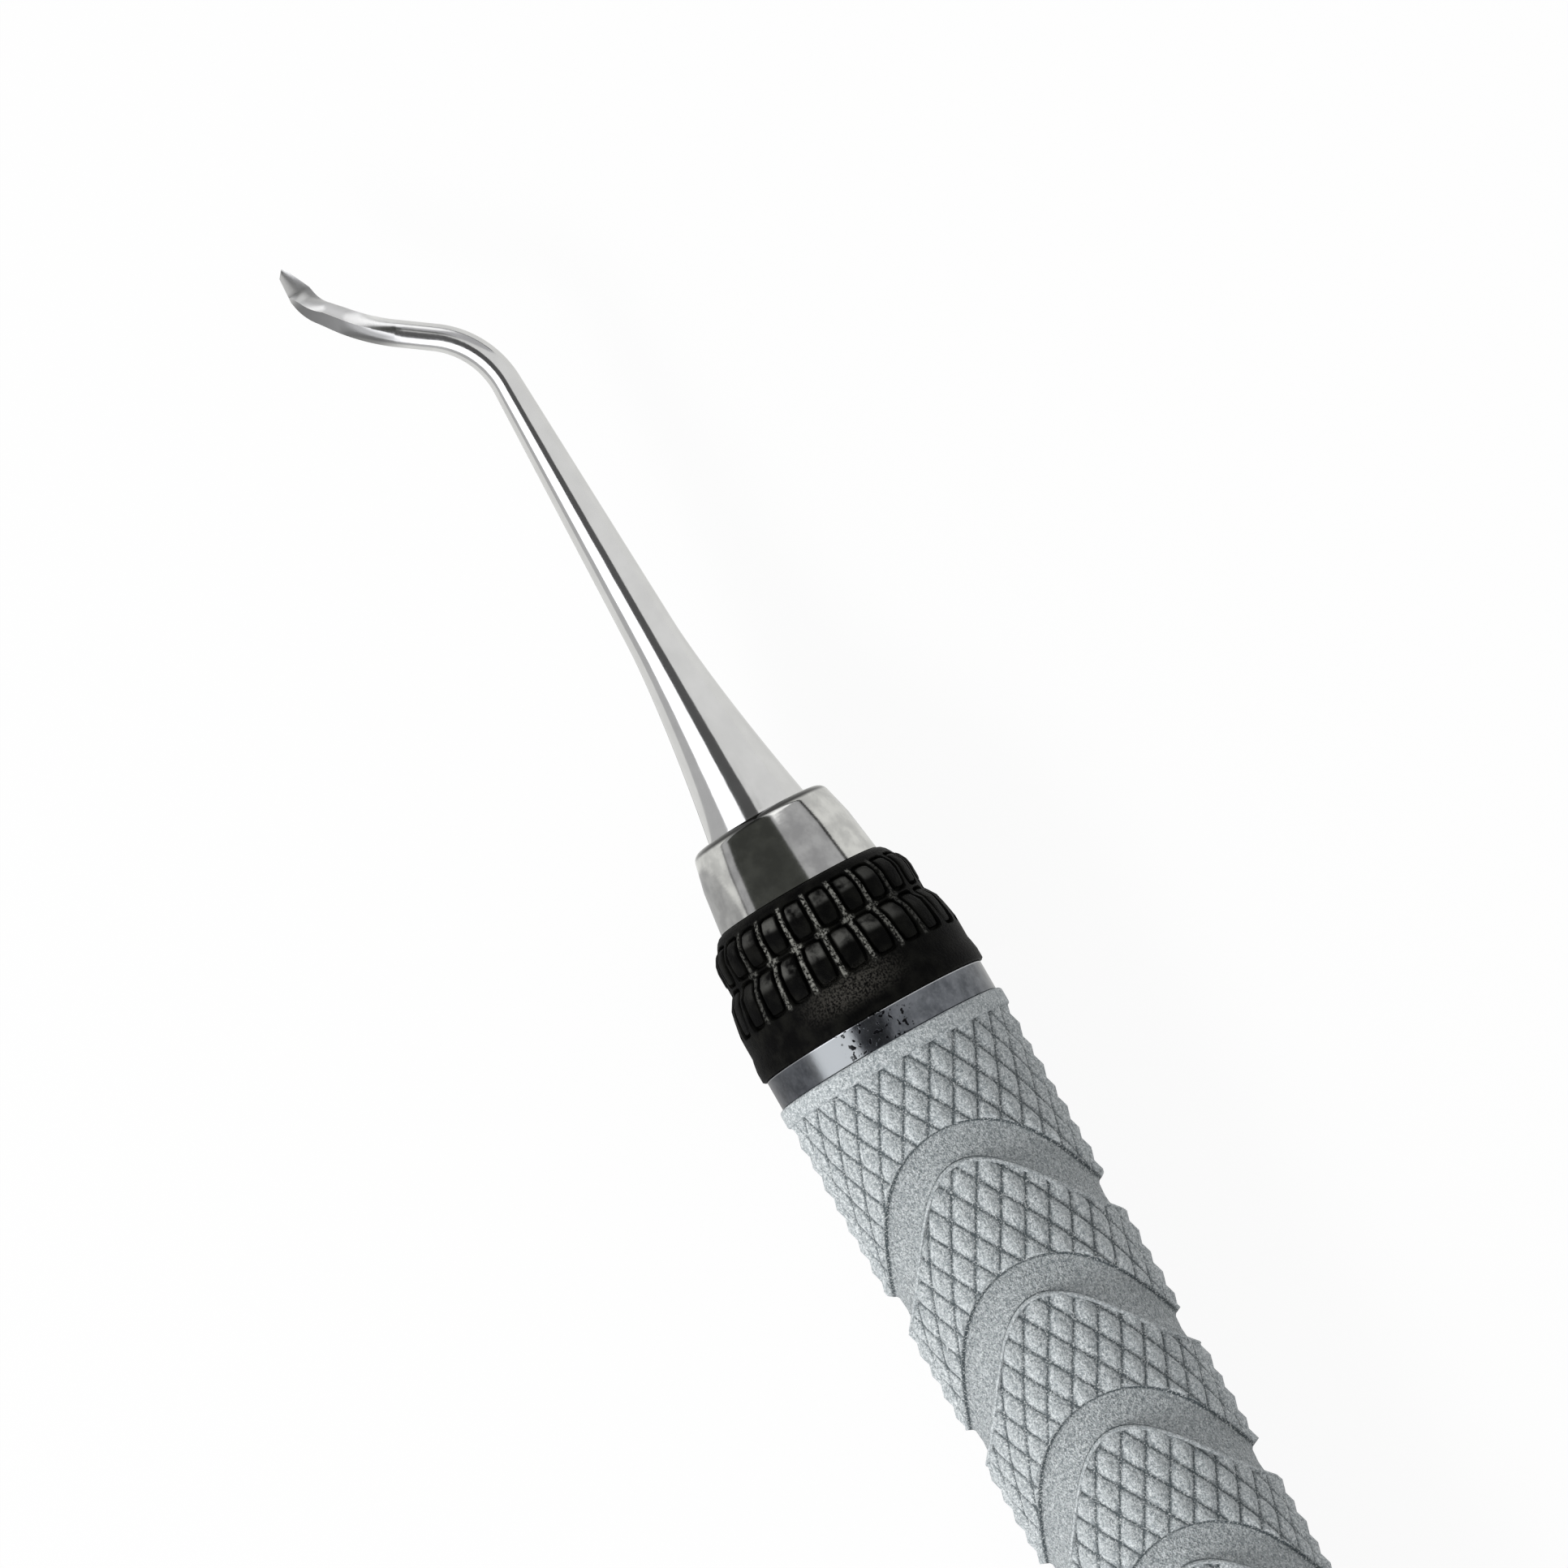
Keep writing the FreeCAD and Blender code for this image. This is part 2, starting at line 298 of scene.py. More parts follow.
def turned(name, outline, steps=turned_steps):
    """A piece turned about the handle's axis: its outline is traced point by point, then spun."""
    bpy.ops.mesh.primitive_plane_add(size=1)
    piece = started(name)
    edit(piece)
    bpy.ops.mesh.select_all(action="SELECT")
    bpy.ops.mesh.merge(type="CENTER")
    bpy.ops.mesh.select_all(action="SELECT")
    here = Vector((0, 0, 0))
    for index, (x, radius) in enumerate(outline):
        there = Vector((x, 0, radius))
        step = {"value": there - here}
        if index == 0:
            bpy.ops.transform.translate(**step)
        else:
            bpy.ops.mesh.extrude_vertices_move(TRANSFORM_OT_translate=step)
        here = there
    bpy.ops.mesh.select_all(action="SELECT")
    bpy.ops.mesh.spin(steps=steps, angle=2 * math.pi, center=(0, 0, 0), axis=(1, 0, 0))
    return cleaned(piece)


def finished(piece, node, finish):
    """Scales a piece to metres, gives it its finish, and lets it stand for its solid."""
    rest()
    piece.data.transform(Matrix.Scale(MM, 4))
    piece.data.materials.clear()
    piece.data.materials.append(finish)
    bpy.context.view_layer.objects.active = piece
    piece.select_set(True)
    bpy.ops.object.shade_smooth_by_angle(angle=smooth_angle)
    rest()
    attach(piece, "root")
    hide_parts(node)
    return piece


# Grip

def wave(turn):
    """How far a channel runs back from its apex at an angle about the axis, from the top."""
    return channel_sweep * abs(math.sin(turn)) ** channel_curl


def slant(turn):
    """How much longer a channel's section is along the handle than at its apex; its sides are flared."""
    slope = channel_curl * channel_sweep * abs(math.sin(turn)) ** (channel_curl - 1) * math.cos(turn)
    return math.hypot(1, slope / crest_radius) * (1 + channel_flare * math.sin(2 * turn) ** 2)


def tooth_height(across, along):
    """Height of a tooth, 0 in its grooves and 1 on its crest, at a share of the cell each way."""
    power = tooth_squareness
    edge = min(1, (abs(2 * across - 1) ** power + abs(2 * along - 1) ** power) ** (1 / power))
    return (1 - edge) * (1 + tooth_fullness * edge)


def knurled_sleeve():
    """One tooth, modelled on a grid, then repeated along and around the grip and wrapped round it."""
    shares = (0, 0.1, 0.28, 0.5, 0.72, 0.9, 1)
    cells = len(shares) - 1
    bpy.ops.mesh.primitive_grid_add(x_subdivisions=cells, y_subdivisions=cells, size=1)
    sleeve = started("grip_handle_look")
    for vertex in sleeve.data.vertices:
        across = shares[round((vertex.co.x + 0.5) * cells)]
        along = shares[round((vertex.co.y + 0.5) * cells)]
        vertex.co = (across, along, tooth_height(across, along))
    knurl_front = handle_length - collar_length
    rows = math.ceil((knurl_front - knurl_end) / diamond_pitch) + rows_spare
    for count, step in ((2, (1, 0, 0)), (rows, (1, 1, 0)), (diamond_count, (1, -1, 0))):
        repeat = sleeve.modifiers.new("repeat", "ARRAY")
        repeat.count = count
        repeat.use_relative_offset = False
        repeat.use_constant_offset = True
        repeat.constant_offset_displace = step
        repeat.use_merge_vertices = True
        repeat.merge_threshold = 0.001
    apply_all(sleeve)
    half_pitch = diamond_pitch / 2
    column = math.pi / diamond_count
    for vertex in sleeve.data.vertices:
        across, along, height = vertex.co
        row = across + along - 1
        turn = (across - along) * column + math.radians(knurl_turn)
        x = knurl_front - (row - rows_before - knurl_phase) * half_pitch
        radius = valley_radius + (crest_radius - valley_radius) * height
        vertex.co = (x, radius * math.sin(turn), radius * math.cos(turn))
    cleaned(sleeve, 0.002)
    for place, outward in ((knurl_front, 1), (knurl_end, -1)):
        edit(sleeve)
        bpy.ops.mesh.select_all(action="SELECT")
        bpy.ops.mesh.bisect(
            plane_co=(place, 0, 0), plane_no=(outward, 0, 0), clear_outer=True, use_fill=True, threshold=1e-4
        )
    rest()
    return cleaned(sleeve)


def wavy(name, outline):
    """A ring turned from its outline and then drawn back along the handle as the channels are."""
    ring = turned(name, outline)
    middle = handle_length - first_channel
    for vertex in ring.data.vertices:
        turn = math.atan2(vertex.co.y, vertex.co.z)
        vertex.co.x = middle + (vertex.co.x - middle) * slant(turn) - wave(turn)
    return ring


def along_channels(ring):
    """The same ring at each channel, as one object."""
    steps = [-index * channel_pitch for index in range(channel_count)]
    rings = [copied(ring, Matrix.Translation((step, 0, 0))) for step in steps]
    bpy.data.objects.remove(ring)
    return joined(rings)


def channel_rims():
    """The plain rims behind the channels."""
    front = handle_length - first_channel - channel_floor_width / 2
    rear = front - channel_rear_run - rim_width
    foot = channel_floor_radius - 0.3
    return along_channels(wavy("rims", [
        (front, foot),
        (front, rim_radius),
        (rear, rim_radius),
        (rear - 0.03, rim_radius - 0.1),
        (rear - 0.03, foot),
        (front, foot),
    ]))


def channel_cutters():
    """What the channels take away: a slightly dished floor with rounded corners, between leaning walls."""
    middle = handle_length - first_channel
    floor_front = middle + channel_floor_width / 2
    floor_rear = middle - channel_floor_width / 2
    front = floor_front + channel_front_run
    rim = floor_rear - channel_rear_run
    back = rim - rim_width
    reach = crest_radius + 0.5
    floor = channel_floor_radius
    return along_channels(wavy("channels", [
        (front + 0.1, reach),
        (front + 0.03, crest_radius - 0.02),
        (front, crest_radius - 0.1),
        (floor_front + 0.02, floor + 0.08),
        (floor_front - 0.08, floor + 0.01),
        (middle, floor - 0.03),
        (floor_rear + 0.1, floor + 0.01),
        (floor_rear - 0.04, floor + 0.07),
        (rim + 0.02, rim_radius - 0.03),
        (rim - 0.02, rim_radius + 0.003),
        (back, rim_radius + 0.003),
        (back - 0.06, crest_radius),
        (back - 0.1, reach),
        (front + 0.1, reach),
    ]))


def sleeve_body(name, grow=0):
    """The insert's sleeve with its key grooves and its two flats."""
    tail = handle_length - sleeve_length
    floor = sleeve_flat - key_groove_depth
    outline = [(tail, 0), (tail, sleeve_radius)]
    for share in (1, 2):
        middle = tail + share * sleeve_length / 3
        rear, front = middle - key_groove_width / 2, middle + key_groove_width / 2
        outline += [(rear, sleeve_radius), (rear, floor), (front, floor), (front, sleeve_radius)]
    outline += [(handle_length + grow, sleeve_radius), (handle_length + grow, 0)]
    sleeve = turned(name, outline)
    for side in (1, -1):
        edit(sleeve)
        bpy.ops.mesh.select_all(action="SELECT")
        bpy.ops.mesh.bisect(
            plane_co=(0, 0, side * sleeve_flat), plane_no=(0, 0, side), clear_outer=True, use_fill=True
        )
    rest()
    return cleaned(sleeve)


def grip_handle(finish):
    """The grip: knurled sleeve, rims, channels, collar and barrel, with the insert's pocket."""
    grip = knurled_sleeve()
    combine(grip, channel_rims(), "UNION")
    combine(grip, channel_cutters(), "DIFFERENCE")
    knurl_front = handle_length - collar_length
    collar = turned("collar", [
        (knurl_front - knurl_overlap, 0),
        (knurl_front - knurl_overlap, valley_radius - 0.1),
        (knurl_front, valley_radius - 0.04),
        *arc((knurl_front + 0.1, collar_radius - 0.1), 0.1, 180, 90),
        *arc((handle_length - collar_round, collar_radius - collar_round), collar_round, 90, 0),
        (handle_length, 0),
    ])
    combine(grip, collar, "UNION")
    barrel = turned("barrel", [
        (0, 0),
        *arc((butt_round, barrel_radius - butt_round), butt_round, 180, 90, 10),
        *arc((knurl_end - 0.12, barrel_radius - 0.12), 0.12, 90, 0),
        (knurl_end, valley_radius - 0.04),
        (knurl_end + knurl_overlap, valley_radius - 0.1),
        (knurl_end + knurl_overlap, 0),
    ])
    combine(grip, barrel, "UNION")
    combine(grip, sleeve_body("pocket", grow=1), "DIFFERENCE")
    return finished(grip, "grip_handle", finish)


# Insert and nose

def collar_insert(finish):
    """The insert: its band with eased edges, its sleeve, and the socket for the nose."""
    band = turned("collar_insert_look", [
        (handle_length, 0),
        *arc((handle_length + band_edge, band_radius - band_edge), band_edge, 180, 90, 4),
        *arc((band_front - band_edge, band_radius - band_edge), band_edge, 90, 0, 4),
        (band_front, 0),
    ])
    combine(band, sleeve_body("sleeve", grow=0.01), "UNION")
    floor = band_front - socket_depth
    bore = spigot_radius + fit_gap
    socket = turned("socket", [(floor, 0), (floor, bore), (band_front + 1, bore), (band_front + 1, 0)])
    combine(band, socket, "DIFFERENCE")
    return finished(band, "collar_insert", finish)


def nose_cone(finish):
    """The nose: cone with a full round at its front, ring seat, thread relief, spigot and bore."""
    tail = band_front - spigot_length
    lean = math.degrees(math.atan2(nose_rear_radius - nose_front_radius, nose_front - ring_front))
    bore = shank_base_radius + fit_gap
    tang = tang_radius + fit_gap
    middle = ring_front + nose_swell_place * (nose_front - ring_front)
    nose = turned("nose_cone_look", [
        (tail, tang),
        (tail, spigot_radius - spigot_chamfer),
        (tail + spigot_chamfer, spigot_radius),
        (band_front - relief_width, spigot_radius),
        (band_front - relief_width, spigot_radius - relief_depth),
        (band_front, spigot_radius - relief_depth),
        (band_front, seat_radius),
        (ring_front, seat_radius),
        (ring_front, nose_rear_radius - 0.03),
        (ring_front + 0.03, nose_rear_radius),
        (middle, nose_rear_radius - nose_swell_share * (nose_rear_radius - nose_front_radius)),
        *arc((nose_front - nose_round, nose_front_radius - nose_round + 0.03), nose_round, 90 - lean, 8, 10),
        (nose_front, nose_front_radius - nose_round - 0.05),
        (nose_front, bore + 0.03),
        (nose_front - 0.03, bore),
        (nose_front - seat_hole_depth, bore),
        (nose_front - seat_hole_depth, tang),
        (tail, tang),
    ], nose_steps)
    return finished(nose, "nose_cone", finish)


# Ring

def ring_side_places():
    """Places (x, radius) down the ring's outside, from the insert to the nose."""
    step = ring_front - 2.2
    return [
        (band_front + 0.05, ring_lip_radius),
        (band_front + 0.46, ring_lip_radius),
        (band_front + 0.64, ring_lip_radius - 0.03),
        (band_front + 0.83, ring_rear_radius + 0.04),
        (band_front + 1.0, ring_rear_radius),
        (step - 1.47, ring_rear_radius),
        (step - 1.1, ring_second_radius),
        (step - 0.73, ring_second_radius - 0.07),
        (step - 0.55, ring_second_radius - 0.12),
        (step - 0.37, ring_second_radius - 0.18),
        (step - 0.19, ring_first_radius + 0.12),
        (step - 0.05, ring_first_radius + 0.02),
        (step + 0.1, ring_first_radius),
        (ring_front - 1.1, ring_first_radius),
        (ring_front - 0.92, ring_first_radius - 0.04),
        (ring_front - 0.73, ring_first_radius - 0.13),
        (ring_front - 0.55, ring_first_radius - 0.25),
        (ring_front - 0.37, ring_first_radius - 0.38),
        (ring_front - 0.18, ring_front_radius + 0.26),
        (ring_front - 0.05, ring_front_radius + 0.12),
        (ring_front, ring_front_radius),
    ]


def ring_outline():
    """The ring's whole profile, round its bore and its outside."""
    bore = seat_radius + 0.01
    return [
        (band_front, bore),
        (band_front, ring_lip_radius - 0.05),
        *ring_side_places(),
        (ring_front, bore),
        (band_front, bore),
    ]


def ring_side(x):
    """Radius of the ring's outside at a place along it."""
    places = ring_side_places()
    for (x0, r0), (x1, r1) in zip(places, places[1:]):
        if x0 <= x <= x1:
            return r0 + (r1 - r0) * (x - x0) / (x1 - x0)
    return places[-1][1]


def pad_block(name, start, length, width, round_by, levels, sink_rear=0):
    """A block with a rounded outline on the ring's side, from levels of (height, how far it grows)."""
    bpy.ops.mesh.primitive_cube_add(size=1)
    block = started(name)
    for halving in range(2):
        modifier = block.modifiers.new("rows", "SUBSURF")
        modifier.subdivision_type = "SIMPLE"
        modifier.levels = modifier.render_levels = 1
    apply_all(block)
    front = ring_front - start
    middle = front - length / 2
    for vertex in block.data.vertices:
        along, across, up = vertex.co
        level, grow = levels[round((up + 0.5) * 4)]
        half_long, half_wide = length / 2 + grow, width / 2 + grow
        x, y = along * 2 * half_long, across * 2 * half_wide
        corner = Vector((max(0, abs(x) - (half_long - round_by)), max(0, abs(y) - (half_wide - round_by))))
        if corner.length > round_by:
            corner = corner.normalized() * round_by
        x = math.copysign(min(abs(x), half_long - round_by) + corner.x, x)
        y = math.copysign(min(abs(y), half_wide - round_by) + corner.y, y)
        x += middle
        share = min(1, max(0, (front - x) / length))
        if level > -0.1:
            level -= sink_rear * share
        radius = ring_side(min(max(x, band_front + 0.06), ring_front - 0.01)) + level
        vertex.co = (x, y, math.sqrt(radius ** 2 - y ** 2))
    return cleaned(block)


def around(block):
    """The same block at each pad's place around the ring, as one object."""
    turns = [-2 * math.pi * index / pad_count - math.radians(pad_turn) for index in range(pad_count)]
    blocks = [copied(block, Matrix.Rotation(turn, 4, "X")) for turn in turns]
    bpy.data.objects.remove(block)
    return joined(blocks)


def grip_ring(finish):
    """The ring: turned body, a moat cut round each pad, and the pads standing in them."""
    ring = turned("grip_ring_look", ring_outline())
    moat_levels = ((-pad_depth, 0), (-pad_depth / 2, 0), (-0.06, 0.01), (0.01, 0.06), (0.3, 0.14))
    pad_levels = ((-pad_depth - 0.06, 0), (-pad_depth / 2, 0), (-0.04, 0), (0.015, -0.03), (0.035, -0.1))
    rows = (
        ("first", first_pad_start, first_pad_length, first_pad_width, 0.0),
        ("second", second_pad_start, second_pad_length, second_pad_width, second_pad_sink),
    )
    for name, start, length, width, sink in rows:
        outer = (start - pad_gap, length + 2 * pad_gap, width + 2 * pad_gap)
        moat = pad_block(name + "_moat", *outer, moat_round, moat_levels)
        combine(ring, around(moat), "DIFFERENCE")
    for name, start, length, width, sink in rows:
        pad = pad_block(name + "_pads", start, length, width, pad_round, pad_levels, sink)
        combine(ring, around(pad), "UNION")
    return finished(ring, "grip_ring", finish)


# Working end

def shank_radius(distance):
    """Shank radius at a distance from the nose: a slim cone that flares towards the nose."""
    cone = shank_end_radius + shank_taper * (shank_straight - distance)
    flare = shank_base_radius - shank_end_radius - shank_taper * shank_straight
    return cone + flare * max(0, 1 - distance / shank_flare_length) ** flare_growth


def round_form(radius):
    """A round section, written as a ground form that isn't ground yet."""
    return (radius, radius, ridge_offset, ridge_height, face_edge_level, flank_edge_level, 0)


def ground_form(width, depth, offset, height):
    """A ground section: half width, half depth, ridge, levels of the two edges, and fully ground."""
    return (width / 2, depth / 2, offset, height, face_edge_level, flank_edge_level, 1)


def working_stations():
    """Stations of the working end: (x, y, heading, form), each form as the ground forms are given."""
    stations = []
    for step in range(straight_steps + 1):
        distance = shank_straight * (step / straight_steps) ** straight_growth
        stations.append((nose_front + distance, 0, 0, round_form(shank_radius(distance))))
    round_neck = round_form(neck_radius)
    hollow = ground_form(hollow_width, hollow_depth, ridge_offset, ridge_height)
    waist = ground_form(waist_width, waist_depth, ridge_offset, ridge_height)
    heel = ground_form(heel_width, heel_depth, heel_ridge_offset, heel_ridge_height)
    heel_end_offset = (heel_ridge_offset + corner_ridge_offset) / 2
    heel_end = ground_form(heel_width, heel_depth, heel_end_offset, heel_ridge_height)
    corner = ground_form(corner_width, corner_depth, corner_ridge_offset, corner_ridge_height)
    toe = ground_form(toe_width, toe_depth, toe_ridge_offset, toe_ridge_height)
    runs = [
        (bend_radius, bend_angle, bend_steps, round_neck),
        (0, bend_run, bend_run_steps, round_neck),
        (neck_bend_radius, -neck_bend_angle, neck_bend_steps, hollow),
        (0, neck_run, neck_steps, waist),
        (heel_bend_radius, -heel_bend_angle, heel_bend_steps, heel),
        (0, heel_run, heel_steps, heel_end),
        (0, corner_run, heel_steps, corner),
        (0, toe_run, toe_steps, toe),
    ]
    x, y, heading, form = nose_front + shank_straight, 0.0, 0.0, stations[-1][3]
    for radius, amount, steps, goal in runs:
        start_form = form
        for step in range(1, steps + 1):
            turn = math.radians(amount) / steps if radius else 0
            chord = 2 * radius * math.sin(abs(turn) / 2) if radius else amount / steps
            x += chord * math.cos(heading + turn / 2)
            y += chord * math.sin(heading + turn / 2)
            heading += turn
            form = tuple(old + (new - old) * step / steps for old, new in zip(start_form, goal))
            stations.append((x, y, heading, form))
    return stations


def section(form):
    """Places (across, up) round a section, from the flank's edge over ridge and face, and back under."""
    half_width, half_depth, ridge_across, ridge_up, face_edge, flank_edge, ground = form
    places = []
    over = flank_points + face_points
    for step in range(over):
        turn = math.pi / 2 * (1 - step / flank_points)
        if step >= flank_points:
            turn = -math.pi / 2 * (step - flank_points) / face_points
        across, up = half_width * math.sin(turn), half_depth * math.cos(turn)
        if step < flank_points:
            share = step / flank_points
            flat = (
                half_width + (ridge_across - half_width) * share,
                flank_edge + (ridge_up - flank_edge) * share,
            )
        else:
            share = (step - flank_points) / face_points
            dip = face_hollow * 4 * share * (1 - share)
            flat = (
                ridge_across + (-half_width - ridge_across) * share,
                ridge_up + (face_edge - ridge_up) * share - dip,
            )
        places.append((across + (flat[0] - across) * ground, up + (flat[1] - up) * ground))
    for step in range(under_points):
        turn = math.pi * step / under_points
        edge = (face_edge + (flank_edge - face_edge) * step / under_points) * ground
        places.append((-half_width * math.cos(turn), edge - half_depth * math.sin(turn)))
    return places


def station_points(x, y, heading, form):
    """A station's section as points in space."""
    aim = Matrix.Translation((x, y, 0)) @ Matrix.Rotation(heading, 4, "Z")
    return [aim @ Vector((0, across, up)) for across, up in section(form)]


def drawn_bar(name, stations):
    """A bar drawn out station by station: its end is extruded and set on the next section."""
    points = flank_points + face_points + under_points
    bpy.ops.mesh.primitive_circle_add(vertices=points, radius=1, fill_type="NGON")
    bar = started(name)
    for vertex, point in zip(bar.data.vertices, station_points(*stations[0])):
        vertex.co = point
    edit(bar, "FACE")
    bpy.ops.mesh.select_all(action="SELECT")
    for station in stations[1:]:
        bpy.ops.mesh.extrude_region_move(TRANSFORM_OT_translate={"value": (0, 0, 0)})
        bpy.ops.object.mode_set(mode="OBJECT")
        ends = [vertex for vertex in bar.data.vertices if vertex.select]
        for vertex, point in zip(ends, station_points(*station)):
            vertex.co = point
        bpy.ops.object.mode_set(mode="EDIT")
    rest()
    return cleaned(bar)


def toe_cutter(toe_x, toe_y):
    """The block that bevels the blade's end into its toe."""
    bpy.ops.mesh.primitive_cube_add(size=2)
    block = started("bevel")
    block.data.transform(Matrix.Translation((0, 1, 0)))
    place = Matrix.Translation((toe_x, toe_y - toe_width / 2 + toe_end_width, 0))
    block.data.transform(place @ Matrix.Rotation(math.radians(-toe_bevel_angle), 4, "Z"))
    return block


def scaler_tip(finish):
    """The working end in one piece, from its tang to the toe, with the face ground and the toe bevelled."""
    stations = working_stations()
    tang_end = nose_front - seat_hole_depth
    hidden = [
        (nose_front - tang_length, 0, 0, round_form(tang_radius)),
        (tang_end, 0, 0, round_form(tang_radius)),
        (tang_end + 0.001, 0, 0, round_form(shank_base_radius)),
    ]
    tip = drawn_bar("scaler_tip_look", hidden + stations)
    toe_x, toe_y = stations[-1][:2]
    combine(tip, toe_cutter(toe_x, toe_y), "DIFFERENCE")
    return finished(tip, "scaler_tip", finish)


# Finishes

class Value:
    """A number or a colour on its way through a finish; sums and products add their nodes."""

    def __init__(self, finish, socket):
        self.finish = finish
        self.socket = socket

    def worked(self, operation, *others):
        return self.finish.node("Math", {"operation": operation}, dict(enumerate((self, *others))))

    def __add__(self, other):
        return self.worked("ADD", other)

    def __radd__(self, other):
        return self.worked("ADD", other)

    def __sub__(self, other):
        return self.worked("SUBTRACT", other)

    def __rsub__(self, other):
        return self.finish.node("Math", {"operation": "SUBTRACT"}, {0: other, 1: self})

    def __mul__(self, other):
        return self.worked("MULTIPLY", other)

    def __truediv__(self, other):
        return self.worked("DIVIDE", other)

    def __pow__(self, other):
        return self.worked("POWER", other)

    def within(self, low, high):
        """0 below low, 1 above high, and a soft step between them."""
        settings = {"interpolation_type": "SMOOTHSTEP"}
        return self.finish.node("MapRange", settings, {"Value": self, "From Min": low, "From Max": high})

    def between(self, low, high, soft):
        """1 between two values, with soft edges."""
        return self.within(low - soft, low + soft) * (1 - self.within(high - soft, high + soft))

    def size(self):
        """The value without its sign."""
        return self.worked("ABSOLUTE")


class Finish:
    """A node tree that is written as expressions."""

    def __init__(self, tree):
        self.tree = tree
        self.tree.nodes.clear()

    def node(self, kind, settings=None, sockets=None, output=0):
        """Adds a node: its settings are set first, then its sockets' values or links."""
        node = self.tree.nodes.new("ShaderNode" + kind)
        for key, setting in (settings or {}).items():
            setattr(node, key, setting)
        for key, value in (sockets or {}).items():
            if isinstance(value, Value):
                self.tree.links.new(value.socket, node.inputs[key])
            else:
                node.inputs[key].default_value = value
        return Value(self, node.outputs[output]) if node.outputs else None

    def mix(self, factor, first, second):
        """A colour between two colours."""
        sockets = {0: factor, 6: first, 7: second}
        return self.node("Mix", {"data_type": "RGBA", "clamp_factor": True}, sockets, 2)

    def place(self):
        """Position on the piece in millimetres: the vector, and its x, y and z."""
        position = self.node("TexCoord", output=3)
        scale = {"operation": "SCALE"}
        position = self.node("VectorMath", scale, {0: position, "Scale": 1 / MM})
        parts = [self.node("SeparateXYZ", None, {0: position}, axis) for axis in range(3)]
        return position, *parts

    def turn_about(self, side, up):
        """Angle in degrees from up towards a side; with y and z, from the top towards the +Y side."""
        return self.node("Math", {"operation": "ARCTAN2"}, {0: side, 1: up}) * (180 / math.pi)

    def noise(self, position, scale, detail=2, roughness=0.5, squeeze=(1, 1, 1)):
        """Fractal noise from 0 to 1, in features to the millimetre."""
        if squeeze != (1, 1, 1):
            position = self.node("Mapping", None, {"Vector": position, "Scale": squeeze})
        sockets = {"Vector": position, "Scale": scale, "Detail": detail, "Roughness": roughness}
        return self.node("TexNoise", None, sockets)

    def bump(self, height, distance, normal=None):
        """A normal from a height, as deep as a distance in millimetres, on another normal if given."""
        sockets = {"Height": height, "Distance": distance * MM}
        if normal:
            sockets["Normal"] = normal
        return self.node("Bump", None, sockets)

    def surface(self, shader):
        """Puts a shader on the material's output."""
        self.node("OutputMaterial", None, {"Surface": shader})


def material(name):
    """A new material and its tree of nodes."""
    finish = bpy.data.materials.new(name)
    finish.use_nodes = True
    return finish, Finish(finish.node_tree)


def colour(red, green, blue):
    """A colour as a socket takes it."""
    return (red, green, blue, 1)


def grey(level):
    """A plain grey as a socket takes it."""
    return colour(level, level, level)


def tip_steel():
    """The working end: mirror-polished bar, satin where it is ground, with painted reflections: a brighter
    ground face, a darker flank and a greyer toe.
    """
    finish, nodes = material("tip_steel")
    position, x, y, z = nodes.place()
    cloud = nodes.noise(position, 0.9, 3)
    marks = nodes.noise(position, 9, 2, squeeze=(0.12, 1, 1))
    scratches = nodes.noise(position, 22, 2, squeeze=(1, 0.15, 1))
    normal = nodes.node("NewGeometry", output=1)
    side = nodes.node("SeparateXYZ", None, {0: normal}, 1)
    neck = x.within(satin_start - 2.3, satin_start - 0.8)
    ground = x.within(satin_start, satin_full)
    flank_shade = side.within(0.15, 0.4) * x.within(satin_start - 0.8, satin_start + 0.2)
    toe = x.within(satin_full + 1.2, satin_full + 2.0)
    base = nodes.mix(cloud.within(0.3, 0.75), grey(0.72), grey(0.78))
    # Painted highlight: the ground face is made brighter in colour; its satin roughness and scratches are
    # real.
    base = nodes.mix(ground * 0.9, base, grey(0.95))
    # Painted shade: the flank, where the normal faces +Y, is darkened in colour to stand for a darker
    # reflection.
    base = nodes.mix(flank_shade * 0.95, base, grey(0.24))
    # Painted reflection: the toe is made greyer in colour.
    base = nodes.mix(toe, base, grey(0.66))
    gloss = 0.1 + marks.within(0.35, 0.8) * 0.04 + neck * 0.07 + ground * 0.15
    nodes.surface(nodes.node("BsdfPrincipled", None, {
        "Base Color": base,
        "Metallic": 1.0,
        "Roughness": gloss,
        "Normal": nodes.bump(marks * 0.6 + scratches * ground * 0.8, 0.0015),
    }))
    return finish


def nose_steel():
    """The nose: cloudy turned steel with a painted dark reflection on its front edge, its reflections leant
    to the front.
    """
    finish, nodes = material("nose_steel")
    position, x, y, z = nodes.place()
    cloud = nodes.noise(position, 1.4, 4)
    marks = nodes.noise(position, 11, 3, squeeze=(1, 0.2, 0.2))
    base = nodes.mix(cloud.within(0.35, 0.7), colour(0.54, 0.54, 0.53), colour(0.74, 0.74, 0.72))
    front = x.within(nose_front - 0.3, nose_front - 0.16)
    # Painted dark reflection: the front edge of the round is made nearly black in colour.
    base = nodes.mix(front * 0.95, base, grey(0.03))
    normal = nodes.node("NewGeometry", output=1)
    lean = nodes.node("VectorMath", {"operation": "ADD"}, {0: normal, 1: (nose_lean, 0, 0)})
    lean = nodes.node("VectorMath", {"operation": "NORMALIZE"}, {0: lean})
    nodes.surface(nodes.node("BsdfPrincipled", None, {
        "Base Color": base,
        "Metallic": 1.0,
        "Roughness": 0.07 + cloud * 0.06,
        "Normal": nodes.bump(marks * 0.6 + cloud, 0.0015, lean),
    }))
    return finish


